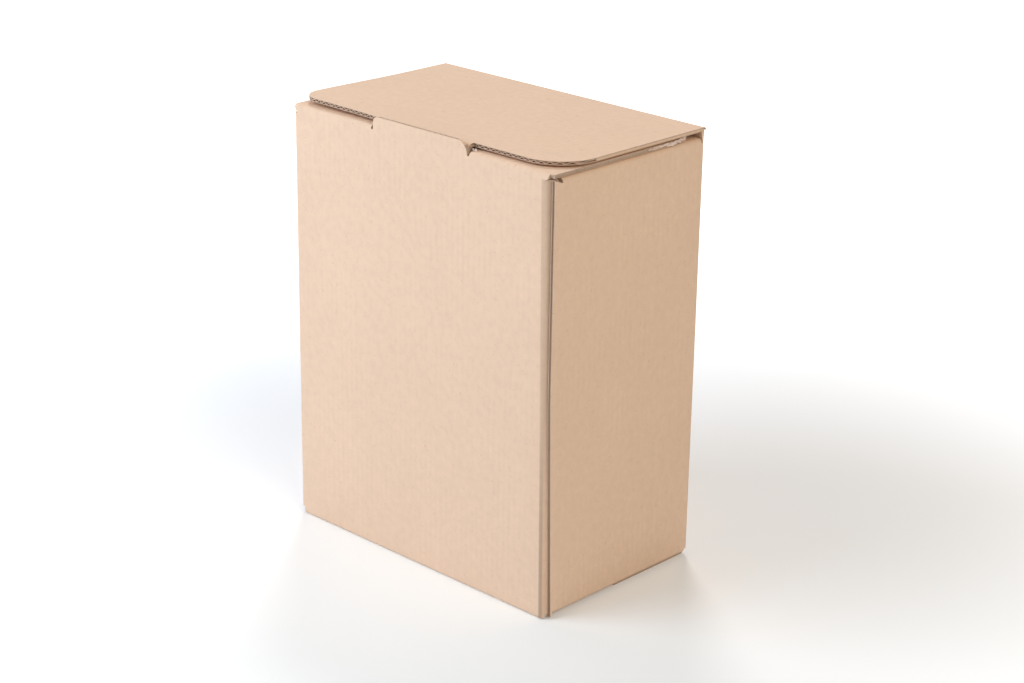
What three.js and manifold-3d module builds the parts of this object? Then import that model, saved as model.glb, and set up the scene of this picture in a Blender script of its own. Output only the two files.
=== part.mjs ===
// Tuck-top corrugated carton for a bag-in-box pack, closed and standing on its base.
// Millimetres, +Z up, origin at the middle of the base, front panel facing -Y, glued corner at +X -Y.
// The carton is one folded and glued blank. Its outer top flap, the lid, is the part that opens,
// so it is a piece of its own that meets the back panel at the lid fold.

import * as THREE from "three";
import { mergeVertices } from "three/addons/utils/BufferGeometryUtils.js";
import Module from "manifold-3d";

const wasm = await Module();
wasm.setup();

// Driving dimensions: the carton
const width = 168.4; // outside, left to right
const depth = 101.6; // outside, front to back
const wallHeight = 210; // floor to the top of the side panels' folds
const board = 1.8; // thickness of the E-flute board
const creaseInner = 0.3; // inside radius of a fold
const cornerInset = 2.6; // how far a flap stops short of each end of its panel

// Driving dimensions: the glued corner
const rollRadius = 4.6; // outside radius where the front panel rolls into the glue tab
const revealTop = 1.2; // front face to the raw edge of the right side panel, at the panel's top
const revealBottom = 4; // the same at its foot: the panel was glued slightly askew
const tabLength = 32; // glue tab, front face to its free edge
const rawEdgeInset = 0.8; // raw edge of the right side panel to the start of its flaps

// Driving dimensions: the flaps of the blank
const shortFlapLength = 50; // side panels' flaps, top and bottom, from the outer face
const seamGap = 0.6; // between the two long bottom flaps
const layerGap = 0.4; // dust flap to the inner flap that lies on it
const innerFlapLength = 90.2; // inner top flap, from the front face to its free edge
const innerFlapInset = 0.8; // side panel's outer face to the inner flap's raw edge
const innerFlapChamfer = 9; // cut across each free corner of the inner flap

// Driving dimensions: the lip and the slot it is cut from
const lipCentre = 1.5; // to the right of the carton's middle
const lipWidth = 61;
const lipRise = 6.5; // above the line where the front panel starts to fold
const lipLeftCorner = 3; // radius of its top left corner
const lipRightCorner = 6; // radius of its top right corner
const lipKerf = 1.3; // width of the cut down each side of the lip

// Driving dimensions: the lid
const lidGap = 1.1; // inner flap to the underside of the lid
const leftShoulderSetback = 3.4; // front face to the lid's front edge, left of the tongue
const rightShoulderSetback = 5.5; // front face to the lid's front edge, right of the tongue
const leftLidCorner = 12; // radius of the lid's front corner on the left
const rightLidCorner = 21; // and on the right
const lidFoldRadius = 1; // outside radius of the fold at the back panel
const lidFoldGap = 0.3; // clear width of the mitre in that fold
const tongueClearance = 0.35; // tongue to the back of the lip
const tongueSideClearance = 1; // tongue to each end of the slot
const tongueDrop = 18; // lid's top to the tongue's free edge
const tongueLean = 6; // degrees, inwards
const tongueCorner = 9; // radius of the tongue's two free corners

// Driving dimensions: the fluting that shows at raw edges
const flutePitch = 3.42;
const liner = 0.3; // thickness of each facing
const medium = 0.25; // thickness of the wavy middle layer
const lidFluteStop = 9; // solid board left between the flutes and the back panel
const lipFluteDepth = 4; // flutes are open this far down from the lip's top edge
const fluteMouth = 0.36; // half width of a flute at its facing, as a share of the pitch
const fluteRoot = 0.1; // half width of a flute at its bottom, as a share of the pitch

// Working dimensions
const halfWidth = width / 2;
const halfDepth = depth / 2;
const foldRadius = board + creaseInner;
const tabFace = halfWidth - board;
const tabInnerFace = tabFace - board;
const rawEdge = -halfDepth + revealTop;
const rawEdgeFoot = -halfDepth + revealBottom;
const ringLow = board + foldRadius;
const ringHigh = wallHeight - foldRadius;
const innerFlapTop = wallHeight + layerGap + board;
const frontFoldLine = innerFlapTop - foldRadius;
const lipTop = frontFoldLine + lipRise;
const lipLeft = lipCentre - lipWidth / 2;
const lipRight = lipCentre + lipWidth / 2;
const slotRear = -halfDepth + lipRise;
const lidBottom = innerFlapTop + lidGap;
const lidTop = lidBottom + board;
const tongueFace = halfDepth - board - tongueClearance;
const tongueLeft = lipLeft + tongueSideClearance;
const tongueRight = lipRight - tongueSideClearance;
const overrun = 2; // cutters and joined solids reach this far past the face they meet
const quarter = Math.PI / 2;
const arcSteps = 6;

// Where each panel faces: local x points out of the panel, local y up, local z along it.
const up = new THREE.Vector3(0, 0, 1);
function panelFrame(outX, outY) {
  const out = new THREE.Vector3(outX, outY, 0);
  return new THREE.Matrix4().makeBasis(out, up, new THREE.Vector3().crossVectors(out, up));
}
const panels = {
  front: panelFrame(0, -1),
  back: panelFrame(0, 1),
  left: panelFrame(-1, 0),
  right: panelFrame(1, 0),
};

// Turns a shape drawn as (x, height) into one that is extruded forwards.
const standing = new THREE.Matrix4().makeBasis(
  new THREE.Vector3(1, 0, 0), up, new THREE.Vector3(0, -1, 0),
);

function toSolid(geometry) {
  const bare = geometry.clone();
  bare.deleteAttribute("normal");
  bare.deleteAttribute("uv");
  const merged = mergeVertices(bare);
  return new wasm.Manifold(new wasm.Mesh({
    numProp: 3,
    vertProperties: new Float32Array(merged.attributes.position.array),
    triVerts: new Uint32Array(merged.index.array),
  }));
}

function toGeometry(solid) {
  const mesh = solid.getMesh();
  const geometry = new THREE.BufferGeometry();
  geometry.setAttribute("position", new THREE.BufferAttribute(mesh.vertProperties, 3));
  geometry.setIndex(new THREE.BufferAttribute(mesh.triVerts, 1));
  geometry.computeVertexNormals();
  return geometry;
}

function extrude(shapes, from, to) {
  const geometry = new THREE.ExtrudeGeometry(shapes, {
    depth: to - from,
    bevelEnabled: false,
    curveSegments: arcSteps,
  });
  return geometry.translate(0, 0, from);
}

// A shape drawn in plan, raised between two heights.
function raise(shape, low, high) {
  return toSolid(extrude(shape, low, high));
}

// A section drawn as (distance out of the panel, height), run along the panel.
function runAlong(panel, shape, from, to) {
  return toSolid(extrude(shape, from, to).applyMatrix4(panels[panel]));
}

function box(x, y, z) {
  const geometry = new THREE.BoxGeometry(x[1] - x[0], y[1] - y[0], z[1] - z[0]);
  geometry.translate((x[0] + x[1]) / 2, (y[0] + y[1]) / 2, (z[0] + z[1]) / 2);
  return toSolid(geometry);
}

// Outside of the four walls in plan. At the front right the side panel ends in a raw edge, one board
// proud of the glue tab, and the front panel rolls in behind it.
function outerOutline() {
  const outline = new THREE.Shape();
  outline.moveTo(halfWidth, rawEdge);
  outline.lineTo(halfWidth, halfDepth - foldRadius);
  outline.absarc(halfWidth - foldRadius, halfDepth - foldRadius, foldRadius, 0, quarter);
  outline.lineTo(-halfWidth + foldRadius, halfDepth);
  outline.absarc(-halfWidth + foldRadius, halfDepth - foldRadius, foldRadius, quarter, 2 * quarter);
  outline.lineTo(-halfWidth, -halfDepth + foldRadius);
  outline.absarc(-halfWidth + foldRadius, -halfDepth + foldRadius, foldRadius, 2 * quarter, 3 * quarter);
  outline.lineTo(tabFace - rollRadius, -halfDepth);
  outline.absarc(tabFace - rollRadius, -halfDepth + rollRadius, rollRadius, 3 * quarter, 4 * quarter);
  outline.lineTo(tabFace, rawEdge);
  return outline;
}

// Inside of the four walls in plan, with the glue tab along the right side panel.
function innerOutline() {
  const insideX = halfWidth - foldRadius;
  const insideY = halfDepth - foldRadius;
  const rollInner = rollRadius - board;
  const tabEnd = -halfDepth + tabLength;
  const outline = new THREE.Path();
  outline.moveTo(tabFace, tabEnd);
  outline.absarc(insideX, insideY, creaseInner, 0, quarter);
  outline.absarc(-insideX, insideY, creaseInner, quarter, 2 * quarter);
  outline.absarc(-insideX, -insideY, creaseInner, 2 * quarter, 3 * quarter);
  outline.absarc(tabInnerFace - rollInner, -halfDepth + rollRadius, rollInner, 3 * quarter, 4 * quarter);
  outline.lineTo(tabInnerFace, tabEnd);
  return outline;
}

// Wedge that trims the side panel's raw edge, from nothing at its top to the full reveal at its foot.
function rawEdgeTrim() {
  const wedge = new THREE.Shape();
  wedge.moveTo(-rawEdge, ringHigh);
  wedge.lineTo(halfDepth + overrun, ringHigh);
  wedge.lineTo(halfDepth + overrun, ringLow - overrun);
  wedge.lineTo(-rawEdgeFoot, ringLow - overrun);
  return runAlong("front", wedge, -halfWidth - overrun, -tabFace);
}

function wallRing() {
  const outline = outerOutline();
  outline.holes.push(innerOutline());
  return raise(outline, ringLow, ringHigh).subtract(rawEdgeTrim());
}

// Section of a panel's end that folds through a right angle into a flap. turn is 1 at the top of the
// carton and -1 at its base, and foldAt is the height of the flap's outer face.
function foldSection(face, foldAt, turn, flapEnd, joinAt) {
  const centreX = face - foldRadius;
  const centreZ = foldAt - turn * foldRadius;
  const section = new THREE.Shape();
  section.moveTo(face, joinAt);
  section.absarc(centreX, centreZ, foldRadius, 0, turn * quarter, turn < 0);
  section.lineTo(flapEnd, foldAt);
  section.lineTo(flapEnd, foldAt - turn * board);
  section.absarc(centreX, centreZ, creaseInner, turn * quarter, 0, turn > 0);
  section.lineTo(face - board, joinAt);
  return section;
}

function longFlap(panel) {
  const reach = halfWidth - cornerInset;
  const section = foldSection(halfDepth, 0, -1, seamGap / 2, ringLow + overrun);
  return runAlong(panel, section, -reach, reach);
}

// A side panel's flap. On the right it starts behind the panel's raw edge.
function shortFlap(panel, foldAt, turn) {
  const joinAt = turn > 0 ? ringHigh - overrun : ringLow + overrun;
  const section = foldSection(halfWidth, foldAt, turn, halfWidth - shortFlapLength, joinAt);
  const reach = halfDepth - cornerInset;
  return runAlong(panel, section, -reach, panel === "right" ? -rawEdgeFoot - rawEdgeInset : reach);
}

// Plan of the inner top flap: full width at its fold, cut across at its two free corners.
function innerFlapPlan() {
  const side = halfWidth - innerFlapInset;
  const end = -halfDepth + innerFlapLength;
  const plan = new THREE.Shape();
  plan.moveTo(-side, -halfDepth - overrun);
  plan.lineTo(side, -halfDepth - overrun);
  plan.lineTo(side, end - innerFlapChamfer);
  plan.lineTo(side - innerFlapChamfer, end);
  plan.lineTo(-side + innerFlapChamfer, end);
  plan.lineTo(-side, end - innerFlapChamfer);
  return plan;
}

function innerFlap(envelope) {
  const freeEdge = halfDepth - innerFlapLength;
  const section = foldSection(halfDepth, innerFlapTop, 1, freeEdge, ringHigh - overrun);
  const slot = box(
    [lipLeft - lipKerf, lipRight + lipKerf],
    [-halfDepth - overrun, slotRear],
    [frontFoldLine, innerFlapTop + overrun],
  );
  return runAlong("front", section, -halfWidth, halfWidth)
    .intersect(raise(innerFlapPlan(), ringHigh - 2 * overrun, lipTop))
    .intersect(envelope)
    .subtract(slot);
}

// The lip stays in the plane of the front panel when the flap around it is folded back.
function lip() {
  const face = new THREE.Shape();
  face.moveTo(lipLeft, ringHigh - overrun);
  face.lineTo(lipRight, ringHigh - overrun);
  face.absarc(lipRight - lipRightCorner, lipTop - lipRightCorner, lipRightCorner, 0, quarter);
  face.absarc(lipLeft + lipLeftCorner, lipTop - lipLeftCorner, lipLeftCorner, quarter, 2 * quarter);
  const upright = toSolid(extrude(face, halfDepth - board, halfDepth).applyMatrix4(standing));
  const from = lipLeft + lipLeftCorner;
  const to = lipRight - lipRightCorner;
  const flutes = fluteSections(from, to, -halfDepth, -halfDepth + board);
  return upright.subtract(raise(flutes, lipTop - lipFluteDepth, lipTop + overrun));
}

// Hollow sections between the facings and the wavy middle layer of a board that spans from low to high,
// one trapezium against each facing in every wave, kept clear of the two ends by one liner.
function fluteSections(from, to, low, high) {
  const mouth = fluteMouth * flutePitch;
  const root = fluteRoot * flutePitch;
  const sections = [];
  const trapezium = (centre, wide, narrow) => {
    const section = new THREE.Shape();
    section.moveTo(centre - mouth, wide);
    section.lineTo(centre + mouth, wide);
    section.lineTo(centre + root, narrow);
    section.lineTo(centre - root, narrow);
    return section;
  };
  const clear = liner + mouth;
  for (let centre = from + clear; centre <= to - clear; centre += flutePitch) {
    sections.push(trapezium(centre, high - liner, low + liner + medium));
    if (centre + flutePitch / 2 <= to - clear) {
      sections.push(trapezium(centre + flutePitch / 2, low + liner, high - liner - medium));
    }
  }
  return sections;
}

// The back panel carries on up to the lid fold and ends in half of the mitre.
function backPanelTop(envelope) {
  const shift = lidFoldGap / Math.SQRT2;
  const arcEnd = Math.acos(shift / (lidFoldRadius * Math.SQRT2)) - quarter / 2;
  const section = new THREE.Shape();
  section.moveTo(halfDepth - board, ringHigh - overrun);
  section.lineTo(halfDepth, ringHigh - overrun);
  section.absarc(halfDepth - lidFoldRadius, lidTop - lidFoldRadius, lidFoldRadius, 0, arcEnd);
  section.lineTo(halfDepth - board, lidTop - board - shift);
  return runAlong("back", section, -halfWidth, halfWidth).intersect(envelope);
}

function cartonBody() {
  const envelope = raise(outerOutline(), -overrun, lipTop + overrun);
  return wallRing()
    .add(longFlap("front").intersect(envelope))
    .add(longFlap("back"))
    .add(shortFlap("left", board, -1))
    .add(shortFlap("right", board, -1))
    .add(shortFlap("left", wallHeight, 1))
    .add(shortFlap("right", wallHeight, 1))
    .add(innerFlap(envelope))
    .add(lip())
    .add(backPanelTop(envelope));
}

// Plan of the lid: square at the back, rounded front corners, and a middle that reaches the tongue.
function lidPlan() {
  const left = -halfDepth + leftShoulderSetback;
  const right = -halfDepth + rightShoulderSetback;
  const tongueRoot = -tongueFace + foldRadius;
  const plan = new THREE.Shape();
  plan.moveTo(halfWidth, halfDepth + overrun);
  plan.lineTo(-halfWidth, halfDepth + overrun);
  plan.absarc(-halfWidth + leftLidCorner, left + leftLidCorner, leftLidCorner, 2 * quarter, 3 * quarter);
  plan.lineTo(tongueLeft, left);
  plan.lineTo(tongueLeft, tongueRoot);
  plan.lineTo(tongueRight, tongueRoot);
  plan.lineTo(tongueRight, right);
  plan.absarc(halfWidth - rightLidCorner, right + rightLidCorner, rightLidCorner, 3 * quarter, 4 * quarter);
  return plan;
}

// Section of the lid through its fold, with the other half of the mitre.
function lidSection() {
  const shift = lidFoldGap / Math.SQRT2;
  const arcEnd = 3 * quarter / 2 - Math.acos(shift / (lidFoldRadius * Math.SQRT2));
  const section = new THREE.Shape();
  section.moveTo(-halfDepth - overrun, lidBottom);
  section.lineTo(halfDepth - board - shift, lidBottom);
  section.absarc(halfDepth - lidFoldRadius, lidTop - lidFoldRadius, lidFoldRadius, arcEnd, quarter);
  section.lineTo(-halfDepth - overrun, lidTop);
  return section;
}

// The tongue folds down at the front of the lid and leans in behind the lip.
function tongue() {
  const lean = THREE.MathUtils.degToRad(tongueLean);
  const centreX = tongueFace - foldRadius;
  const centreZ = lidTop - foldRadius;
  const run = (tongueDrop - foldRadius - foldRadius * Math.sin(lean)) / Math.cos(lean);
  const along = (radius, distance) => [
    centreX + radius * Math.cos(lean) - distance * Math.sin(lean),
    centreZ - radius * Math.sin(lean) - distance * Math.cos(lean),
  ];
  const section = new THREE.Shape();
  section.moveTo(centreX - overrun, lidTop);
  section.absarc(centreX, centreZ, foldRadius, quarter, -lean, true);
  section.lineTo(...along(foldRadius, run));
  section.lineTo(...along(creaseInner, run));
  section.absarc(centreX, centreZ, creaseInner, -lean, quarter);
  section.lineTo(centreX - overrun, lidBottom);
  const low = lidTop - tongueDrop;
  const face = new THREE.Shape();
  face.moveTo(tongueLeft, lidTop + overrun);
  face.absarc(tongueLeft + tongueCorner, low + tongueCorner, tongueCorner, 2 * quarter, 3 * quarter);
  face.absarc(tongueRight - tongueCorner, low + tongueCorner, tongueCorner, 3 * quarter, 4 * quarter);
  face.lineTo(tongueRight, lidTop + overrun);
  return runAlong("front", section, -tongueRight, -tongueLeft)
    .intersect(toSolid(extrude(face, 0, depth).applyMatrix4(standing)));
}

function lidFlap() {
  const flutes = (from, to) => {
    const sections = fluteSections(from, to, lidBottom, lidTop);
    return toSolid(extrude(sections, lidFluteStop - halfDepth, halfDepth + overrun).applyMatrix4(standing));
  };
  return raise(lidPlan(), lidBottom - overrun, lidTop + overrun)
    .intersect(runAlong("back", lidSection(), -halfWidth, halfWidth))
    .subtract(flutes(-halfWidth, tongueLeft))
    .subtract(flutes(tongueRight, halfWidth))
    .add(tongue());
}

const kraft = { color: 0xd8b592, roughness: 0.9, metalness: 0 };

function namedMesh(name, solid) {
  const mesh = new THREE.Mesh(toGeometry(solid), new THREE.MeshStandardMaterial(kraft));
  mesh.name = name;
  return mesh;
}

const carton = new THREE.Group();
carton.add(namedMesh("carton_body", cartonBody()));
carton.add(namedMesh("lid_flap", lidFlap()));

export default carton;
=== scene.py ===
import math
import random

import bmesh
import bpy
import mathutils
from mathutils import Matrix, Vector


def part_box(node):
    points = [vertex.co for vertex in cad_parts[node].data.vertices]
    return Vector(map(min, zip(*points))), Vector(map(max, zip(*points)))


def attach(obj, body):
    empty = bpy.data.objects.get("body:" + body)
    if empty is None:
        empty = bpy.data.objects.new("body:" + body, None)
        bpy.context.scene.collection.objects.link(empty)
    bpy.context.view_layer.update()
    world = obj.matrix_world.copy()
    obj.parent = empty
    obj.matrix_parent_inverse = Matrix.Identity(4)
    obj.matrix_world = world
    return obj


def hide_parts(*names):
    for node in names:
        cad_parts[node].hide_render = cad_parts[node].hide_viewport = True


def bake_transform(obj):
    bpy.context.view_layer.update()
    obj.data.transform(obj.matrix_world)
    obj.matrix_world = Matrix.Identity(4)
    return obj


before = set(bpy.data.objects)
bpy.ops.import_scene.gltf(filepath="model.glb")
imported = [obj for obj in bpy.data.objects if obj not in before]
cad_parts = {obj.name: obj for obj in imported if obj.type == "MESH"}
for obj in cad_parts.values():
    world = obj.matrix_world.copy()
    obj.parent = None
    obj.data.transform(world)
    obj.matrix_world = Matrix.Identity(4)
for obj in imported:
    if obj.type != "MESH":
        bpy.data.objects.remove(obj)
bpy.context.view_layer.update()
bodyLow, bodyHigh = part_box("carton_body")
lidLow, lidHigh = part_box("lid_flap")
nearly = 0.00005  # how close a point must be to count as lying on a line
quarterTurn = math.pi / 2

board = {  # E-flute corrugated board, in metres
    "thickness": 0.0018,
    "liner": 0.0003,
    "medium": 0.0003,  # thickness of the corrugated middle's paper
    "pitch": 0.00342,  # from wave to wave
    "waveSteps": 8,  # points in one wave
    "foldRadius": 0.0021,  # outside radius of a fold
    "foldSteps": 5,
    "gridStep": 0.012,  # size of the faces that the large panels are divided into
    "sharpFold": 40,  # degrees from which a fold is shaded as an edge
    "sharpWave": 60,
}
waveSwing = board["thickness"] / 2 - board["liner"] - board["medium"] / 2


# Modelling by hand: pick by place, then use an operator

def at(value, place):
    return abs(value - place) < nearly


def within(value, low, high):
    return low - nearly < value < high + nearly


def onlySelect(piece):
    if bpy.context.object and bpy.context.object.mode != "OBJECT":
        bpy.ops.object.mode_set(mode="OBJECT")
    bpy.ops.object.select_all(action="DESELECT")
    piece.select_set(True)
    bpy.context.view_layer.objects.active = piece


def startEditing(piece):
    onlySelect(piece)
    bpy.ops.object.mode_set(mode="EDIT")


def stopEditing():
    bpy.ops.object.mode_set(mode="OBJECT")


def pick(piece, kind, test):
    bpy.ops.mesh.select_mode(type=kind)
    bpy.ops.mesh.select_all(action="DESELECT")
    mesh = bmesh.from_edit_mesh(piece.data)
    parts = {"VERT": mesh.verts, "EDGE": mesh.edges, "FACE": mesh.faces}[kind]
    picked = [part for part in parts if test(part)]
    for part in picked:
        part.select_set(True)
    mesh.select_flush_mode()
    bmesh.update_edit_mesh(piece.data)
    return len(picked)


def choose(piece, kind, test):
    # kind is VERT, EDGE or FACE; an edge or face counts when all its corners pass the test
    if kind == "VERT":
        return pick(piece, kind, lambda part: test(part.co))
    return pick(piece, kind, lambda part: all(test(corner.co) for corner in part.verts))


def chooseFaces(piece, test):
    # test is given the face's centre and normal
    return pick(piece, "FACE", lambda face: test(face.calc_center_median(), face.normal))


def cutAcross(axis, places):
    normal = [0, 0, 0]
    normal[axis] = 1
    for place in places:
        point = [0, 0, 0]
        point[axis] = place
        bpy.ops.mesh.select_all(action="SELECT")
        bpy.ops.mesh.bisect(plane_co=point, plane_no=normal)


def move(x=0, y=0, z=0):
    bpy.ops.transform.translate(value=(x, y, z))


def extend(x=0, y=0, z=0):
    bpy.ops.mesh.extrude_edges_move(TRANSFORM_OT_translate={"value": (x, y, z)})


def turnOver(centre, axis, angle=quarterTurn):
    # the spin operator turns clockwise round its axis, so the sign is reversed here
    bpy.ops.mesh.spin(steps=board["foldSteps"], angle=-angle, center=centre, axis=axis)


def flatten(x=1, y=1, z=1, centre=(0, 0, 0)):
    bpy.ops.transform.resize(value=(x, y, z), center_override=centre)


def softMove(size, x=0, y=0, z=0):
    # the neighbours follow, as a panel gives when it is pressed
    bpy.ops.transform.translate(
        value=(x, y, z), use_proportional_edit=True, proportional_edit_falloff="SMOOTH",
        proportional_size=size, use_proportional_connected=False,
    )


def thicken(piece, thickness, offset=-1, inner=1, rim=2):
    # inner and rim are the places of their papers in the piece's list
    onlySelect(piece)
    bpy.ops.object.modifier_add(type="SOLIDIFY")
    wall = piece.modifiers[-1]
    wall.thickness = thickness
    wall.offset = offset
    wall.material_offset = inner
    wall.material_offset_rim = rim
    bpy.ops.object.modifier_apply(modifier=wall.name)


def thickenBothWays(piece, thickness):
    thicken(piece, thickness, 0, 0, 0)


def joinPieces(keeper, others):
    bpy.ops.object.select_all(action="DESELECT")
    for other in others:
        other.select_set(True)
    keeper.select_set(True)
    bpy.context.view_layer.objects.active = keeper
    bpy.ops.object.join()


def faceOut(piece, point, normal):
    # the sheet's faces are made to agree, then all turned if the one nearest the point looks in
    bpy.ops.mesh.select_all(action="SELECT")
    bpy.ops.mesh.remove_doubles(threshold=nearly)
    bpy.ops.mesh.select_all(action="SELECT")
    bpy.ops.mesh.normals_make_consistent(inside=False)
    mesh = bmesh.from_edit_mesh(piece.data)
    nearest = min(mesh.faces, key=lambda face: (face.calc_center_median() - Vector(point)).length)
    if nearest.normal.dot(Vector(normal)) < 0:
        bpy.ops.mesh.select_all(action="SELECT")
        bpy.ops.mesh.flip_normals()


def smoothFolds(piece, degrees):
    onlySelect(piece)
    bpy.ops.object.shade_smooth_by_angle(angle=math.radians(degrees))


def startSheet(name, place, turn, width, height, columns=0, rows=1):
    bpy.ops.object.select_all(action="DESELECT")
    if columns:
        bpy.ops.mesh.primitive_grid_add(
            x_subdivisions=columns, y_subdivisions=rows, size=1, location=place, rotation=turn)
    else:
        bpy.ops.mesh.primitive_plane_add(size=1, location=place, rotation=turn)
    sheet = bpy.context.object
    sheet.name = name
    sheet.data.name = name
    sheet.scale = (width, height, 1)
    bpy.ops.object.transform_apply(location=True, rotation=True, scale=True)
    return sheet


def givePapers(piece, papers):
    for finish in papers:
        piece.data.materials.append(finish)


def steps(start, end, step):
    count = max(1, round((end - start) / step))
    return [start + (end - start) * i / count for i in range(1, count)]


def shapeWave(piece, start, step, shift):
    # each column of points is moved by its place in the wave
    count = board["waveSteps"]
    for phase in range(count):
        size = math.sin(phase * 2 * math.pi / count)
        if abs(size) > 0.01:
            choose(piece, "VERT", lambda p: round((p.x - start) / step) % count == phase)
            shift(size)


# The carton: one sheet of board, folded up from the front panel

carton = {
    "left": bodyLow.x, "right": bodyHigh.x, "front": bodyLow.y, "back": bodyHigh.y,
    "longFoldLow": board["foldRadius"],  # where the front and back panels start to fold in at the base
    "sideFoldLow": board["thickness"] + board["foldRadius"],
    "sideFoldHigh": 0.2079,  # where the side panels start to fold in at the top
    "frontFoldHigh": 0.2104,  # where the front panel starts to fold in at the top
    "backTop": lidHigh.z - 0.0008,  # outer edge of the back panel, under the lid's fold
    "backTopSlope": 0.0014,  # how much lower its inner edge is
    "waist": 0.105,  # height of the one cut across the front panel
    "flapInset": 0.0026,  # flaps stop this far short of a corner
    "sideFlapInset": 0.0036,  # the side flaps start this much further back, behind the roll
    "shortFlap": 0.050,
    "seam": 0.0003,  # half the gap between the two long flaps of the base
    "rollRadius": 0.0045,  # the front panel's turn into the glue tab
    "rollAtFoot": 0.48,  # share of that turn that is left at the foot
    "tabReach": 0.02,  # the glue tab's rough length, before its edge is set straight at tabEnd
    "tabEnd": -0.0188,
    "revealTop": 0.0012,  # front face to the right panel's raw edge
    "revealFoot": 0.004,
    "cornerDrop": -0.0031,  # the glued corner reaches below and above the side folds
    "cornerRise": 0.0017,
    "footSeam": 0.0001,  # the front panel's own corner stays this far above the base fold
}
carton["panelRight"] = carton["right"] - board["thickness"] - carton["rollRadius"]

innerFlap = {
    "end": 0.0394, "right": 0.0834, "chamfer": 0.009,
    "edgeBand": 0.007,  # what lies this close to a wall is drawn out to the flap's side edge
    "cornerBand": 0.0015,  # the corner at the front fold
    "cornerDraw": 0.0022,  # how far that corner is drawn in
}

lip = {
    "left": -0.029, "right": 0.032, "top": 0.2166,
    "kerf": 0.0013,  # width of the cut on each side of the lip
    "leftCorner": 0.003, "rightCorner": 0.006, "cornerSteps": 6,
    "slotRear": -0.0443,
    "middleLeft": 0.0032, "middleRight": 0.0062,  # the middle shows between these, inside the corners
    "middleDeep": 0.0013, "middleShy": 0.0001,  # from and to this far under the top edge
}

grooves = {  # the liners stand a little proud of the crushed middle along the raw edges
    "lip": 0.0012, "wall": 0.0007, "flap": 0.0003,
    "extra": 0.00008,  # what the crushed middle gives to each liner
    "slope": 0.00002,
    "flapStart": 0.002,  # from the front face
    "flapSides": 0.07,
}

torn = {  # centre, turn, length, height, how far the rear end bends in, seed
    "tornLiner": ((0.0835, 0.0262, 0.2115), (quarterTurn, 0, quarterTurn), 0.0284, 0.0018, 0.006, 7),
    "slotTuft": ((0.0338, -0.0476, 0.2129), (quarterTurn, 0, 0), 0.0022, 0.0016, 0, 5),
}

tear = {
    "alongStep": 0.0007, "upStep": 0.0004,
    "ruck": 0.0004,  # how far a point may be out of place
    "bendStart": 0.65,  # share of the length
    "startHeight": 0.3, "growth": 1.2,  # share of the height where the tear starts, and its rise
    "thickness": 0.0002,
}


# Papers

paper = {
    "outer": (0.785, 0.565, 0.415),
    "inner": (0.74, 0.52, 0.37),
    "raw": (0.50, 0.365, 0.275),
    "middle": (0.60, 0.445, 0.345),
    "torn": (0.80, 0.64, 0.56),
    "cloud": 0.05, "cloudScale": 14,  # slow change of tone over a panel
    "formation": 0.09, "formationScale": 260,  # small cloudy patches of fibre
    "fleck": 0.30,  # darker single fibres
    "fleckTone": (0.62, 0.52, 0.42),
    "fibreScale": 1500, "fibreBand": (0.66, 0.74),
    "crossScale": 1300, "crossBand": (0.67, 0.75),
    "stretch": 0.3,  # a fibre's scale along its length
    "washboard": 0.012,  # the flutes show through the liner
    "patchScale": 30, "patchBand": (0.4, 0.65),  # and do so in patches
    "grainScale": 900, "grain": 0.35, "washboardRelief": 1.5,
    "bumpStrength": 0.35, "bumpDistance": 0.00012,
    "roughness": 0.78, "specular": 0.4,
}

paintedRollShade = {  # painted shade on the roll where the front panel turns in at the glued corner, with a painted highlight behind the groove at the foot
    "start": 0.0803, "slope": -0.0145,  # x of its edge at the foot, and the change per metre of height
    "edge": (-0.0003, 0.0004),
    "depth": 0.006,  # from the front face
    "rawEdge": 0.0015,  # what is left out beside the right panel's raw edge
    "shade": 0.2,  # how much painted shade darkens the roll
    "deep": (0.0022, 0.0034), "deepShade": 0.12,
    "foot": (0.03, 0.11), "footShade": 0.17,  # heights between which the painted shade stripe at the foot fades
    # a negative painted shade: painted highlight on the turn behind the groove at the foot
    "behind": (0.0012, 0.0019), "behindShade": -0.3,
}


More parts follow.
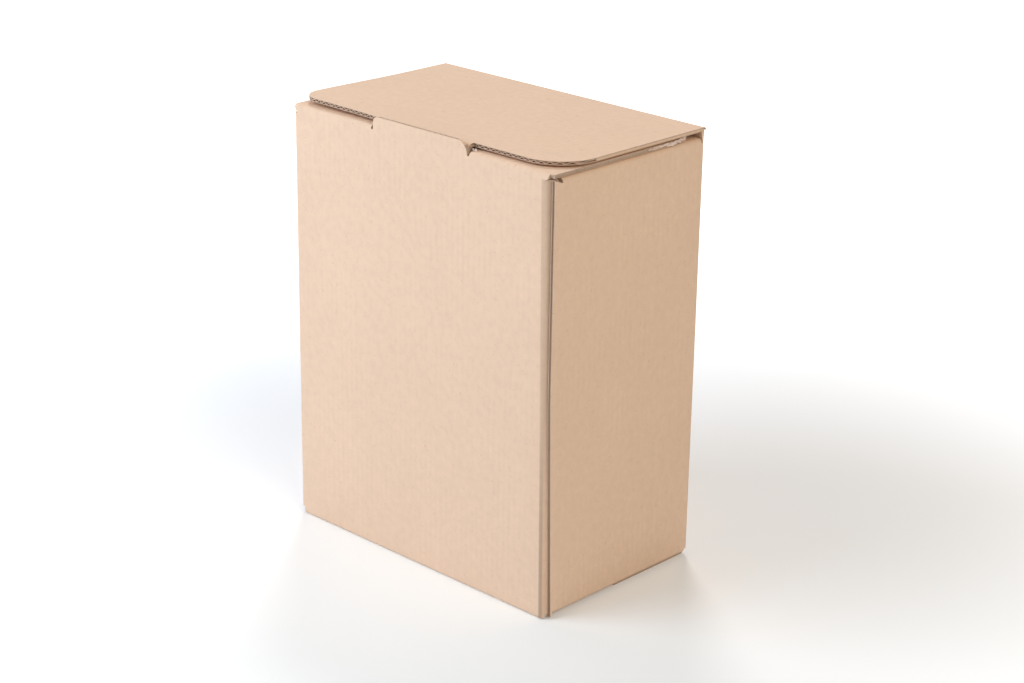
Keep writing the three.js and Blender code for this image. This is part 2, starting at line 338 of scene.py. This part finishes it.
def kraftPaper(name, tone, fleck=paper["fleck"], washboard=paper["washboard"], roll=False):
    made = bpy.data.materials.new(name)
    made.use_nodes = True
    nodes, links = made.node_tree.nodes, made.node_tree.links
    shader = nodes["Principled BSDF"]
    shader.inputs["Roughness"].default_value = paper["roughness"]
    shader.inputs["Specular IOR Level"].default_value = paper["specular"]
    place = nodes.new("ShaderNodeTexCoord")

    def noise(scale, detail, rough=0.6, stretch=(1, 1, 1)):
        mapping = nodes.new("ShaderNodeMapping")
        mapping.inputs["Scale"].default_value = stretch
        links.new(place.outputs["Object"], mapping.inputs["Vector"])
        node = nodes.new("ShaderNodeTexNoise")
        node.inputs["Scale"].default_value = scale
        node.inputs["Detail"].default_value = detail
        node.inputs["Roughness"].default_value = rough
        links.new(mapping.outputs["Vector"], node.inputs["Vector"])
        return node.outputs["Fac"]

    def calc(kind, *values):
        node = nodes.new("ShaderNodeMath")
        node.operation = kind
        for socket, value in zip(node.inputs, values):
            if isinstance(value, (int, float)):
                socket.default_value = value
            else:
                links.new(value, socket)
        return node.outputs[0]

    def band(value, lowHigh):
        node = nodes.new("ShaderNodeMapRange")
        node.interpolation_type = "SMOOTHSTEP"
        node.inputs["From Min"].default_value, node.inputs["From Max"].default_value = lowHigh
        links.new(value, node.inputs["Value"])
        return node.outputs["Result"]

    def axes(socket):
        node = nodes.new("ShaderNodeSeparateXYZ")
        links.new(place.outputs[socket], node.inputs[0])
        return node.outputs

    def mixColours(first, second, factor, kind="MIX"):
        node = nodes.new("ShaderNodeMix")
        node.data_type = "RGBA"
        node.blend_type = kind
        for socket, value in (("A", first), ("B", second), ("Factor", factor)):
            if isinstance(value, (int, float, tuple)):
                node.inputs[socket].default_value = value
            else:
                links.new(value, node.inputs[socket])
        return node.outputs["Result"]

    def swing(value, size, middle=0):
        # noise from 0 to 1 becomes a change by size either way
        return calc("MULTIPLY_ADD", value, size * 2, middle - size)

    spot = axes("Object")
    mottled = calc(
        "ADD", swing(noise(paper["cloudScale"], 3), paper["cloud"], 1),
        swing(noise(paper["formationScale"], 5, 0.65), paper["formation"]))
    # flutes run up the walls and from front to back in the flaps
    sideways = calc("GREATER_THAN", calc("ABSOLUTE", axes("Normal")["X"]), 0.7)
    across = calc("ADD", calc("MULTIPLY", spot["Y"], sideways),
                  calc("MULTIPLY", spot["X"], calc("SUBTRACT", 1, sideways)))
    ripple = calc("SINE", calc("MULTIPLY", across, 2 * math.pi / board["pitch"]))
    patchy = band(noise(paper["patchScale"], 2), paper["patchBand"])
    stripes = calc("MULTIPLY", calc("MULTIPLY", ripple, patchy), washboard)
    shades = calc("ADD", mottled, stripes)

    if roll:
        # painted shade and painted highlight on the roll at the glued corner
        height = spot["Z"]
        along = calc("SUBTRACT", spot["X"], calc("MULTIPLY_ADD", height, paintedRollShade["slope"], paintedRollShade["start"]))
        inRoll = band(along, paintedRollShade["edge"])
        for value, limit in (
            (spot["Y"], carton["front"] + paintedRollShade["depth"]),
            (height, carton["sideFoldHigh"] + carton["cornerRise"]),
            (spot["X"], carton["right"] - paintedRollShade["rawEdge"]),
        ):
            inRoll = calc("MULTIPLY", inRoll, calc("LESS_THAN", value, limit))
        # painted shade in the roll: towards the foot it is darkest in the score's groove, and the turn
        # behind it gets a painted highlight
        foot = calc("SUBTRACT", 1, band(height, paintedRollShade["foot"]))
        deeper = calc("MULTIPLY", band(along, paintedRollShade["deep"]), calc("SUBTRACT", 1, foot))
        behind = calc("MULTIPLY", band(along, paintedRollShade["behind"]), foot)
        shade = calc("MULTIPLY_ADD", deeper, paintedRollShade["deepShade"], paintedRollShade["shade"])
        shade = calc("MULTIPLY_ADD", foot, paintedRollShade["footShade"], shade)
        shade = calc("MULTIPLY_ADD", behind, paintedRollShade["behindShade"], shade)
        shades = calc("MULTIPLY", shades, calc("SUBTRACT", 1, calc("MULTIPLY", inRoll, shade)))

    # single fibres, longer along the flutes, and some across them
    stretch = paper["stretch"]
    fibres = band(noise(paper["fibreScale"], 2, 0.5, (1, 1, stretch)), paper["fibreBand"])
    crossing = band(noise(paper["crossScale"], 2, 0.5, (stretch, stretch, 1)), paper["crossBand"])
    dark = calc("MULTIPLY", calc("MAXIMUM", fibres, crossing), fleck)
    fleckTone = tuple(part * share for part, share in zip(tone, paper["fleckTone"]))
    toned = mixColours((*tone, 1), shades, 1, "MULTIPLY")
    links.new(mixColours(toned, (*fleckTone, 1), dark), shader.inputs["Base Color"])
    relief = calc("ADD", calc("MULTIPLY", noise(paper["grainScale"], 4), paper["grain"]),
                  calc("MULTIPLY", stripes, paper["washboardRelief"]))
    bump = nodes.new("ShaderNodeBump")
    bump.inputs["Strength"].default_value = paper["bumpStrength"]
    bump.inputs["Distance"].default_value = paper["bumpDistance"]
    links.new(relief, bump.inputs["Height"])
    links.new(bump.outputs["Normal"], shader.inputs["Normal"])
    return made


# the outer paper carries the painted shade and painted highlight of the glued corner's roll
outerPaper = kraftPaper("outerPaper", paper["outer"], roll=True)
innerPaper = kraftPaper("innerPaper", paper["inner"], washboard=0.035)
rawEdge = kraftPaper("rawEdge", paper["raw"], fleck=0.9, washboard=0)
tornPaper = kraftPaper("tornPaper", paper["torn"], fleck=0.5, washboard=0)
middlePaper = kraftPaper("middlePaper", paper["middle"], fleck=0.9, washboard=0)
print("papers ready")


def frontPanel():
    left, right = carton["left"] + board["foldRadius"], carton["panelRight"]
    low, high = carton["longFoldLow"], carton["frontFoldHigh"]
    sheet = startSheet(
        "cartonBoard", ((left + right) / 2, carton["front"], (low + high) / 2),
        (quarterTurn, 0, 0), right - left, high - low,
    )
    startEditing(sheet)
    inset = carton["left"] + carton["flapInset"]
    kerf = lip["kerf"]
    cutAcross(0, [inset, lip["left"] - kerf, lip["left"], lip["right"], lip["right"] + kerf])
    cutAcross(2, [carton["sideFoldLow"], carton["waist"], carton["sideFoldHigh"]])
    for bottom, top in ((0, carton["sideFoldLow"]), (carton["sideFoldHigh"], high)):
        if choose(sheet, "FACE", lambda p: p.x < inset + nearly and within(p.z, bottom, top)):
            bpy.ops.mesh.delete(type="FACE")
    return sheet


def foldTop(sheet):
    # the lip stands straight up from the front panel, between its two cuts
    foldLine, crest = carton["frontFoldHigh"], carton["front"] + board["thickness"]
    slotLeft, slotRight, slotRear = lip["left"] - lip["kerf"], lip["right"] + lip["kerf"], lip["slotRear"]
    choose(sheet, "EDGE", lambda p: at(p.z, foldLine) and within(p.x, lip["left"], lip["right"]))
    extend(z=lip["top"] - foldLine)
    for corner, size in ((lip["left"], lip["leftCorner"]), (lip["right"], lip["rightCorner"])):
        choose(sheet, "VERT", lambda p: at(p.z, lip["top"]) and at(p.x, corner))
        bpy.ops.mesh.bevel(offset=size, segments=lip["cornerSteps"], affect="VERTICES")

    # the inner flap folds back on both sides of the lip, then closes behind the slot
    choose(sheet, "EDGE", lambda p: at(p.z, foldLine)
           and (p.x < slotLeft + nearly or p.x > slotRight - nearly))
    turnOver((0, crest, foldLine), (-1, 0, 0))
    extend(y=slotRear - crest)
    extend(y=innerFlap["end"] - innerFlap["chamfer"] - slotRear)
    extend(y=innerFlap["chamfer"])
    choose(sheet, "EDGE", lambda p: p.y > slotRear - nearly and p.z > foldLine
           and (at(p.x, slotLeft) or at(p.x, slotRight)))
    bpy.ops.mesh.bridge_edge_loops()


def foldWalls(sheet):
    front, back, radius = carton["front"], carton["back"], board["foldRadius"]
    left, right, panelRight = carton["left"], carton["right"], carton["panelRight"]
    insideLeft, insideRight = left + radius, right - radius
    insideFront, insideBack = front + radius, back - radius
    low, high, longLow = carton["sideFoldLow"], carton["sideFoldHigh"], carton["longFoldLow"]

    # the base's long flap folds in from the front panel
    choose(sheet, "EDGE", lambda p: at(p.z, longLow))
    turnOver((0, insideFront, longLow), (1, 0, 0))
    extend(y=-carton["seam"] - insideFront)
    # it reaches as far as the glued corner, which is narrower at the foot
    choose(sheet, "VERT", lambda p: p.z < longLow + nearly and at(p.x, panelRight))
    move(x=carton["rollRadius"] * (1 - carton["rollAtFoot"]))

    # walls: round the left corner, the back and the right side, as far as the raw edge
    def roundCorner(edgeX, edgeY, centre):
        choose(sheet, "EDGE", lambda p: at(p.x, edgeX) and at(p.y, edgeY) and within(p.z, low, high))
        turnOver((*centre, 0), (0, 0, -1))

    roundCorner(insideLeft, front, (insideLeft, insideFront))
    extend(y=insideBack - insideFront)
    roundCorner(left, insideBack, (insideLeft, insideBack))
    extend(x=insideRight - insideLeft)
    roundCorner(insideRight, back, (insideRight, insideBack))
    extend(y=front + carton["revealTop"] - insideBack)
    choose(sheet, "VERT", lambda p: p.x > right - nearly and p.y < 0 and p.z < low + nearly)
    move(y=carton["revealFoot"] - carton["revealTop"])


def rollCorner(sheet):
    # the front panel rolls in behind the right panel and ends in the glue tab
    front, panelRight, radius = carton["front"], carton["panelRight"], carton["rollRadius"]
    low, high, rollEnd = carton["sideFoldLow"], carton["sideFoldHigh"], panelRight + radius
    inRoll = lambda p: p.y < front + radius + nearly
    choose(sheet, "EDGE", lambda p: at(p.x, panelRight) and within(p.z, low, high) and at(p.y, front))
    turnOver((panelRight, front + radius, 0), (0, 0, 1))
    choose(sheet, "VERT", lambda p: carton["longFoldLow"] + nearly < p.z < low + nearly
           and within(p.x, panelRight, rollEnd) and inRoll(p))
    share = carton["rollAtFoot"]
    flatten(x=share, y=share, centre=(rollEnd, front, low))
    choose(sheet, "EDGE", lambda p: at(p.x, rollEnd) and p.y > front + board["thickness"] and inRoll(p))
    extend(y=carton["tabReach"])
    choose(sheet, "VERT", lambda p: at(p.x, rollEnd) and p.y > front + carton["tabReach"])
    flatten(y=0, centre=(0, carton["tabEnd"], 0))


def foldOtherFlaps(sheet):
    # a long one at the back of the base, and short ones at the sides, top and base
    front, back, radius = carton["front"], carton["back"], board["foldRadius"]
    left, right, inset = carton["left"], carton["right"], carton["flapInset"]
    low, high, longLow = carton["sideFoldLow"], carton["sideFoldHigh"], carton["longFoldLow"]
    insideBack = back - radius
    flapStart = front + inset + carton["sideFlapInset"]
    cutAcross(1, [flapStart, back - inset])
    cutAcross(0, [left + inset, right - inset])
    # the roll and the raw edge run on to the base and up to the front fold
    pastPanel = carton["panelRight"] + 4 * nearly
    for edgeZ, shift in ((low, carton["cornerDrop"]), (high, carton["cornerRise"])):
        choose(sheet, "VERT", lambda p: at(p.z, edgeZ) and p.x > pastPanel
               and front + nearly < p.y < front + carton["rollRadius"] + nearly)
        move(z=shift)
    choose(sheet, "VERT", lambda p: at(p.z, low) and p.x > pastPanel and p.y < front + nearly)
    move(z=longLow - low + carton["footSeam"])

    choose(sheet, "EDGE", lambda p: p.y > back - nearly and at(p.z, low)
           and within(p.x, left + inset, right - inset))
    extend(z=longLow - low)
    turnOver((0, insideBack, longLow), (-1, 0, 0))
    extend(y=carton["seam"] - insideBack)
    choose(sheet, "EDGE", lambda p: p.y > insideBack - nearly and at(p.z, high))
    extend(z=carton["backTop"] - high)
    for side, turn in ((left, 1), (right, -1)):
        for edgeZ, way in ((high, turn), (low, -turn)):
            choose(sheet, "EDGE", lambda p: at(p.x, side) and at(p.z, edgeZ)
                   and within(p.y, flapStart, back - inset))
            turnOver((side + turn * radius, 0, edgeZ), (0, way, 0))
            extend(x=turn * (carton["shortFlap"] - radius))


def shapeInnerFlap(sheet):
    # the flap is wider than the flat of the front panel, and cut across at its free corners
    above, band = carton["frontFoldHigh"] - nearly, innerFlap["edgeBand"]
    end, edge = innerFlap["end"], innerFlap["right"]
    atRight = lambda p: p.z > above and p.x > carton["right"] - band
    atLeft = lambda p: p.z > above and p.x < carton["left"] + band and p.y < end + nearly
    choose(sheet, "VERT", atRight)
    flatten(x=0, centre=(edge, 0, 0))
    choose(sheet, "VERT", lambda p: atRight(p) and p.y < carton["front"] + innerFlap["cornerBand"])
    move(x=-innerFlap["cornerDraw"])
    choose(sheet, "VERT", atLeft)
    flatten(x=0, centre=(-edge, 0, 0))
    for side, atEdge in ((-1, atLeft), (1, atRight)):
        choose(sheet, "VERT", lambda p: atEdge(p) and at(p.y, end))
        move(x=-side * innerFlap["chamfer"])


def finishRawEdges(sheet):
    startEditing(sheet)
    front, thickness = carton["front"], board["thickness"]
    lipTop = lambda c, n: n.z > 0.9 and c.z > lip["top"] - nearly
    wallEdge = lambda c, n: (
        n.y < -0.7 and c.x > carton["right"] - thickness and c.y < front + carton["rollRadius"]
        and carton["sideFoldLow"] < c.z < carton["sideFoldHigh"])
    flapEdges = lambda c, n: (
        abs(n.x) > 0.6 and abs(c.x) > grooves["flapSides"] and c.z > carton["frontFoldHigh"]
        and front + grooves["flapStart"] < c.y < innerFlap["end"])
    edges = ((lipTop, grooves["lip"]), (wallEdge, grooves["wall"]), (flapEdges, grooves["flap"]))
    for test, depth in edges:
        chooseFaces(sheet, test)
        for width, drop in ((board["liner"] + grooves["extra"], 0), (grooves["slope"], -depth)):
            bpy.ops.mesh.inset(thickness=width, depth=drop, use_boundary=True, use_even_offset=False)
    # the lip's cut edge is clean, so it keeps the lighter tone of the inside
    chooseFaces(sheet, lambda c, n: n.z > 0.5 and c.z > lip["top"] - 0.0015)
    sheet.active_material_index = 1
    bpy.ops.object.material_slot_assign()
    stopEditing()


def lipMiddle():
    # corrugated middle, seen end on in the lip's top edge
    start, end = lip["left"] + lip["middleLeft"], lip["right"] - lip["middleRight"]
    low, high = lip["top"] - lip["middleDeep"], lip["top"] - lip["middleShy"]
    count = round((end - start) / board["pitch"] * board["waveSteps"])
    centre = ((start + end) / 2, carton["front"] + board["thickness"] / 2, (low + high) / 2)
    strip = startSheet("lipMiddle", centre, (quarterTurn, 0, 0), end - start, high - low, count)
    startEditing(strip)
    shapeWave(strip, start, (end - start) / count, lambda size: move(y=waveSwing * size))
    stopEditing()
    givePapers(strip, [middlePaper])
    thickenBothWays(strip, board["medium"])
    smoothFolds(strip, board["sharpWave"])
    return strip


def tornLiner(name):
    # liner torn and rucked up, at the rear of the inner flap's right edge and at the slot's right end
    centre, turn, length, height, bend, seed = torn[name]
    chance = random.Random(seed)
    strip = startSheet(name, centre, turn, length, height)
    startEditing(strip)
    axis = 1 if turn[2] else 0
    start = centre[axis] - length / 2
    cutAcross(axis, steps(start, start + length, tear["alongStep"]))
    cutAcross(2, steps(centre[2] - height / 2, centre[2] + height / 2, tear["upStep"]))
    mesh = bmesh.from_edit_mesh(strip.data)
    for corner in mesh.verts:
        along = (corner.co[axis] - start) / length
        shift = Vector([chance.uniform(-tear["ruck"], tear["ruck"]) for i in range(3)])
        shift.x -= bend * max(0, along - tear["bendStart"])
        # narrow where the tear starts
        share = min(1, tear["startHeight"] + tear["growth"] * along)
        corner.co.z = centre[2] + (corner.co.z - centre[2]) * share
        corner.co += shift
    bmesh.update_edit_mesh(strip.data)
    stopEditing()
    givePapers(strip, [tornPaper])
    thickenBothWays(strip, tear["thickness"])
    return strip


def cartonBoard():
    sheet = frontPanel()
    foldTop(sheet)
    foldWalls(sheet)
    rollCorner(sheet)
    foldOtherFlaps(sheet)
    shapeInnerFlap(sheet)
    faceOut(sheet, (0, carton["front"], 0.1), (0, -1, 0))
    grid = board["gridStep"]
    cutAcross(0, steps(carton["left"], carton["right"], grid))
    cutAcross(1, steps(carton["front"], carton["back"], grid))
    cutAcross(2, steps(carton["sideFoldLow"], carton["sideFoldHigh"], grid))
    stopEditing()
    givePapers(sheet, (outerPaper, innerPaper, rawEdge))
    thicken(sheet, board["thickness"])
    startEditing(sheet)
    choose(sheet, "VERT", lambda p: at(p.z, carton["backTop"]) and p.y < carton["back"] - 0.001)
    move(z=-carton["backTopSlope"])
    stopEditing()
    finishRawEdges(sheet)
    strip = lipMiddle()
    smoothFolds(sheet, board["sharpFold"])
    joinPieces(sheet, [strip] + [tornLiner(name) for name in torn])
    return sheet


# The lid: two liners with the corrugated middle between them, and a tongue that tucks behind the lip

lid = {
    "left": lidLow.x, "right": lidHigh.x, "top": lidHigh.z, "back": 0.05,
    "leftFront": -0.0474, "rightFront": -0.0453,
    "leftCorner": 0.012, "rightCorner": 0.021, "cornerSteps": 9,
    "tongueLeft": -0.028, "tongueRight": 0.031, "tongueFace": -0.04865,
    "tongueLean": math.radians(6), "tongueDrop": 0.018, "tongueCorner": 0.009,
    "columns": 14, "rows": 8,
    "crushedInset": 0.00025,  # the crushed middle along the sides, from the lid's side edge
    "crushedShort": 0.0016, "crushedStep": 0.01,
    "bowPlace": (0.012, 0.004), "bowTip": 0.006,  # from the left front corner, where it is bent up
    "bowSize": 0.07, "bowHeight": 0.0009,
    "creaseTurn": 0.0009, "creaseRun": 0.0004,  # the outer liner's turn over the fold
}


def roundOff(piece, centre, radius, towards, axes, test):
    # a run of straight cuts, each along the tangent of the corner's arc
    first, second = axes
    for i in range(lid["cornerSteps"]):
        angle = quarterTurn * (i + 0.5) / lid["cornerSteps"]
        normal = Vector((0, 0, 0))
        normal[first] = towards[0] * math.cos(angle)
        normal[second] = towards[1] * math.sin(angle)
        choose(piece, "FACE", test)
        touch = Vector(centre) + normal * radius
        bpy.ops.mesh.bisect(plane_co=touch, plane_no=normal, clear_outer=True)


def foldTongue(layer, front):
    # the lid's front edge runs on to the fold of the tongue, and the tongue goes down behind the lip
    radius, lean = board["foldRadius"], lid["tongueLean"]
    foldY, foldZ = lid["tongueFace"] + radius, lid["top"] - radius
    choose(layer, "EDGE", lambda p: at(p.y, front) and p.x < lid["tongueRight"] + nearly)
    extend(y=foldY - front)
    choose(layer, "EDGE", lambda p: at(p.y, foldY) and p.x < lid["tongueLeft"] + nearly)
    extend(y=lid["leftFront"] - foldY)
    choose(layer, "EDGE", lambda p: at(p.y, foldY) and p.x > lid["tongueLeft"] - nearly)
    turnOver((0, foldY, foldZ), (1, 0, 0), quarterTurn + lean)
    run = (lid["tongueDrop"] - radius * (1 + math.sin(lean))) / math.cos(lean)
    extend(y=run * math.sin(lean), z=-run * math.cos(lean))


def roundLidCorners(layer):
    # front corners of the lid, then the tongue's free corners
    big, bigger, small = lid["leftCorner"], lid["rightCorner"], lid["tongueCorner"]
    leftX, leftY = lid["left"] + big, lid["leftFront"] + big
    rightX, rightY = lid["right"] - bigger, lid["rightFront"] + bigger
    tongueLeft, tongueRight = lid["tongueLeft"] + small, lid["tongueRight"] - small
    tongueLow, flat = lid["top"] - lid["tongueDrop"] + small, lid["top"] - board["foldRadius"]
    cutAcross(0, [leftX, rightX, tongueLeft, tongueRight])
    cutAcross(1, [leftY, rightY])
    cutAcross(2, [tongueLow])
    roundOff(layer, (leftX, leftY, 0), big, (-1, -1), (0, 1),
             lambda p: p.z > flat and p.x < leftX + nearly and p.y < leftY + nearly)
    roundOff(layer, (rightX, rightY, 0), bigger, (1, -1), (0, 1),
             lambda p: p.z > flat and p.x > rightX - nearly and p.y < rightY + nearly)
    roundOff(layer, (tongueLeft, 0, tongueLow), small, (-1, -1), (0, 2),
             lambda p: p.z < tongueLow + nearly and p.x < tongueLeft + nearly)
    roundOff(layer, (tongueRight, 0, tongueLow), small, (1, -1), (0, 2),
             lambda p: p.z < tongueLow + nearly and p.x > tongueRight - nearly)


def lidLayer(name, depth, columns, papers, thickness, wave=0):
    left, right, top = lid["left"], lid["right"], lid["top"] - depth
    front, back = lid["rightFront"], lid["back"] - depth
    layer = startSheet(name, ((left + right) / 2, (front + back) / 2, top), (0, 0, 0),
                       right - left, back - front, columns, lid["rows"])
    startEditing(layer)
    if wave:
        shapeWave(layer, left, (right - left) / columns, lambda size: move(z=wave * size))
    cutAcross(0, [lid["tongueLeft"], lid["tongueRight"]])
    foldTongue(layer, front)
    roundLidCorners(layer)
    faceOut(layer, (0, 0, top), (0, 0, 1))
    stopEditing()
    givePapers(layer, papers)
    thicken(layer, thickness, 0 if wave else -1)
    smoothFolds(layer, board["sharpWave"] if wave else board["sharpFold"])
    return layer


def crushedEdge(x, front):
    # along its sides the lid's middle is crushed flat
    low = lid["top"] - board["thickness"] + board["liner"]
    high, back = lid["top"] - board["liner"], lid["back"]
    strip = startSheet(
        "lidEdge", (x, (front + back) / 2, (low + high) / 2), (quarterTurn, 0, quarterTurn),
        back - front - lid["crushedShort"], high - low,
    )
    startEditing(strip)
    cutAcross(1, steps(front, back, lid["crushedStep"]))
    stopEditing()
    givePapers(strip, [innerPaper])
    thickenBothWays(strip, board["medium"])
    return strip


def lidBoard():
    columns, liner, inset = lid["columns"], board["liner"], lid["crushedInset"]
    waves = (lid["right"] - lid["left"]) / board["pitch"]
    outer = lidLayer("lidBoard", 0, columns, (outerPaper, innerPaper, rawEdge), liner)
    inner = lidLayer("lidInner", board["thickness"] - liner, columns,
                     (innerPaper, innerPaper, rawEdge), liner)
    middle = lidLayer("lidMiddle", board["thickness"] / 2, round(waves * board["waveSteps"]),
                      (middlePaper, middlePaper, middlePaper), board["medium"], waveSwing)
    crushed = [crushedEdge(lid["left"] + inset, lid["leftFront"] + lid["leftCorner"]),
               crushedEdge(lid["right"] - inset, lid["rightFront"] + lid["rightCorner"])]
    joinPieces(outer, [inner, middle] + crushed)
    # the left front corner is bowed up
    startEditing(outer)
    bowX, bowY = lid["left"] + lid["bowPlace"][0], lid["leftFront"] + lid["bowPlace"][1]
    choose(outer, "VERT", lambda p: (p - Vector((bowX, bowY, p.z))).length < lid["bowTip"])
    softMove(lid["bowSize"], z=lid["bowHeight"])
    stopEditing()
    return outer


def lidCrease():
    # the outer liner runs on over the fold, from the back panel to the lid
    back, turn, run = bodyHigh.y, lid["creaseTurn"], lid["creaseRun"]
    turnZ = lid["top"] - turn
    lowPlace = (0, back, turnZ - run / 2)
    width = lid["right"] - lid["left"]
    strip = startSheet("lidCrease", lowPlace, (-quarterTurn, 0, 0), width, run)
    startEditing(strip)
    choose(strip, "EDGE", lambda p: at(p.z, turnZ))
    turnOver((0, back - turn, turnZ), (1, 0, 0))
    faceOut(strip, lowPlace, (0, 1, 0))
    stopEditing()
    givePapers(strip, (outerPaper, innerPaper, rawEdge))
    thicken(strip, board["liner"])
    smoothFolds(strip, board["sharpWave"])
    return strip


carton3d = cartonBoard()
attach(carton3d, "carton")
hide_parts("carton_body")
print("carton board:", len(carton3d.data.polygons), "faces")

lid3d = lidBoard()
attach(lid3d, "lid")
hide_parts("lid_flap")
print("lid board:", len(lid3d.data.polygons), "faces")

crease3d = lidCrease()
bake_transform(crease3d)
print("lid crease ready")


# Floor, light and camera

studio = {
    "cameraPlace": (0.72155, -0.74098, 0.48742),
    "cameraForward": (-0.64771, 0.67691, -0.34966),
    "cameraUp": (-0.25228, 0.2425, 0.93678),
    "lens": 80.64, "sensor": 36, "clipEnd": 20,
    "worldStrength": 0.26,
    "floor": (0.9, 0.92, 0.94),
    "floorRadius": 6, "floorSides": 96, "floorRoughness": 0.9, "floorSpecular": 0.1,
    "floorSpread": (0.16, 0.6, 0.1, 0.8),  # near, far, then how much white is added to the floor there
    "lamps": {  # place, target, size, watts, colour
        "key": ((-0.5, -0.75, 0.6), (0, 0, 0.11), 0.9, 7.7, (0.87, 0.97, 1.08)),
        "right": ((1.2, -0.35, 0.95), (0, 0, 0.12), 1.0, 8.4, (1.0, 0.89, 0.7)),
        "behind": ((-0.7, 0.75, 1.5), (0, 0, 0.1), 0.4, 9, (1.0, 0.94, 0.92)),
    },
}


def aim(thing, place, forward, up=(0, 0, 1)):
    back = -Vector(forward).normalized()
    right = Vector(up).cross(back).normalized()
    thing.location = place
    turned = mathutils.Matrix((right, back.cross(right), back)).transposed()
    thing.rotation_euler = turned.to_euler()


def placeCamera():
    bpy.ops.object.camera_add()
    camera = bpy.context.object
    camera.name = "photoView"
    camera.data.lens = studio["lens"]
    camera.data.sensor_width = studio["sensor"]
    camera.data.clip_end = studio["clipEnd"]
    aim(camera, studio["cameraPlace"], studio["cameraForward"], studio["cameraUp"])
    bpy.context.scene.camera = camera


def placeLamps():
    for name, (place, target, size, power, tint) in studio["lamps"].items():
        bpy.ops.object.light_add(type="AREA")
        lamp = bpy.context.object
        lamp.name = name
        lamp.data.shape = "DISK"
        lamp.data.size = size
        lamp.data.energy = power
        lamp.data.color = tint
        aim(lamp, place, Vector(target) - Vector(place))


def makeWorld():
    world = bpy.data.worlds.new("studio")
    bpy.context.scene.world = world
    world.use_nodes = True
    nodes, links = world.node_tree.nodes, world.node_tree.links
    soft = nodes["Background"]
    soft.inputs["Color"].default_value = (1, 1, 1, 1)
    soft.inputs["Strength"].default_value = studio["worldStrength"]
    # the camera, and what is mirrored in the object, sees plain white behind it
    rays = nodes.new("ShaderNodeLightPath")
    seen = rays.outputs["Is Camera Ray"]
    for kind in ("Is Glossy Ray", "Is Transmission Ray"):
        either = nodes.new("ShaderNodeMath")
        either.operation = "MAXIMUM"
        links.new(seen, either.inputs[0])
        links.new(rays.outputs[kind], either.inputs[1])
        seen = either.outputs[0]
    white = nodes.new("ShaderNodeBackground")
    white.inputs["Color"].default_value = (1, 1, 1, 1)
    choice = nodes.new("ShaderNodeMixShader")
    links.new(seen, choice.inputs["Fac"])
    links.new(soft.outputs[0], choice.inputs[1])
    links.new(white.outputs[0], choice.inputs[2])
    links.new(choice.outputs[0], nodes["World Output"].inputs["Surface"])


def floorCloth():
    cloth = bpy.data.materials.new("floorWhite")
    cloth.use_nodes = True
    nodes, links = cloth.node_tree.nodes, cloth.node_tree.links
    shader = nodes["Principled BSDF"]
    shader.inputs["Base Color"].default_value = (*studio["floor"], 1)
    shader.inputs["Roughness"].default_value = studio["floorRoughness"]
    shader.inputs["Specular IOR Level"].default_value = studio["floorSpecular"]
    shader.inputs["Emission Color"].default_value = (1, 1, 1, 1)
    # away from the object the camera sees it turn white, and the shadow stays near the object
    spot = nodes.new("ShaderNodeTexCoord")
    away = nodes.new("ShaderNodeVectorMath")
    away.operation = "LENGTH"
    spread = nodes.new("ShaderNodeMapRange")
    spread.interpolation_type = "SMOOTHSTEP"
    for socket, value in zip(("From Min", "From Max", "To Min", "To Max"), studio["floorSpread"]):
        spread.inputs[socket].default_value = value
    rays = nodes.new("ShaderNodeLightPath")
    lift = nodes.new("ShaderNodeMath")
    lift.operation = "MULTIPLY"
    links.new(spot.outputs["Object"], away.inputs[0])
    links.new(away.outputs["Value"], spread.inputs["Value"])
    links.new(rays.outputs["Is Camera Ray"], lift.inputs[0])
    links.new(spread.outputs["Result"], lift.inputs[1])
    links.new(lift.outputs[0], shader.inputs["Emission Strength"])
    return cloth


def makeFloor():
    bpy.ops.object.select_all(action="DESELECT")
    bpy.ops.mesh.primitive_circle_add(
        vertices=studio["floorSides"], radius=studio["floorRadius"], fill_type="NGON")
    floor = bpy.context.object
    floor.name = "floor"
    floor.data.materials.append(floorCloth())


makeWorld()
makeFloor()
placeLamps()
placeCamera()
bpy.context.scene.view_settings.view_transform = "Standard"
print("surroundings ready")
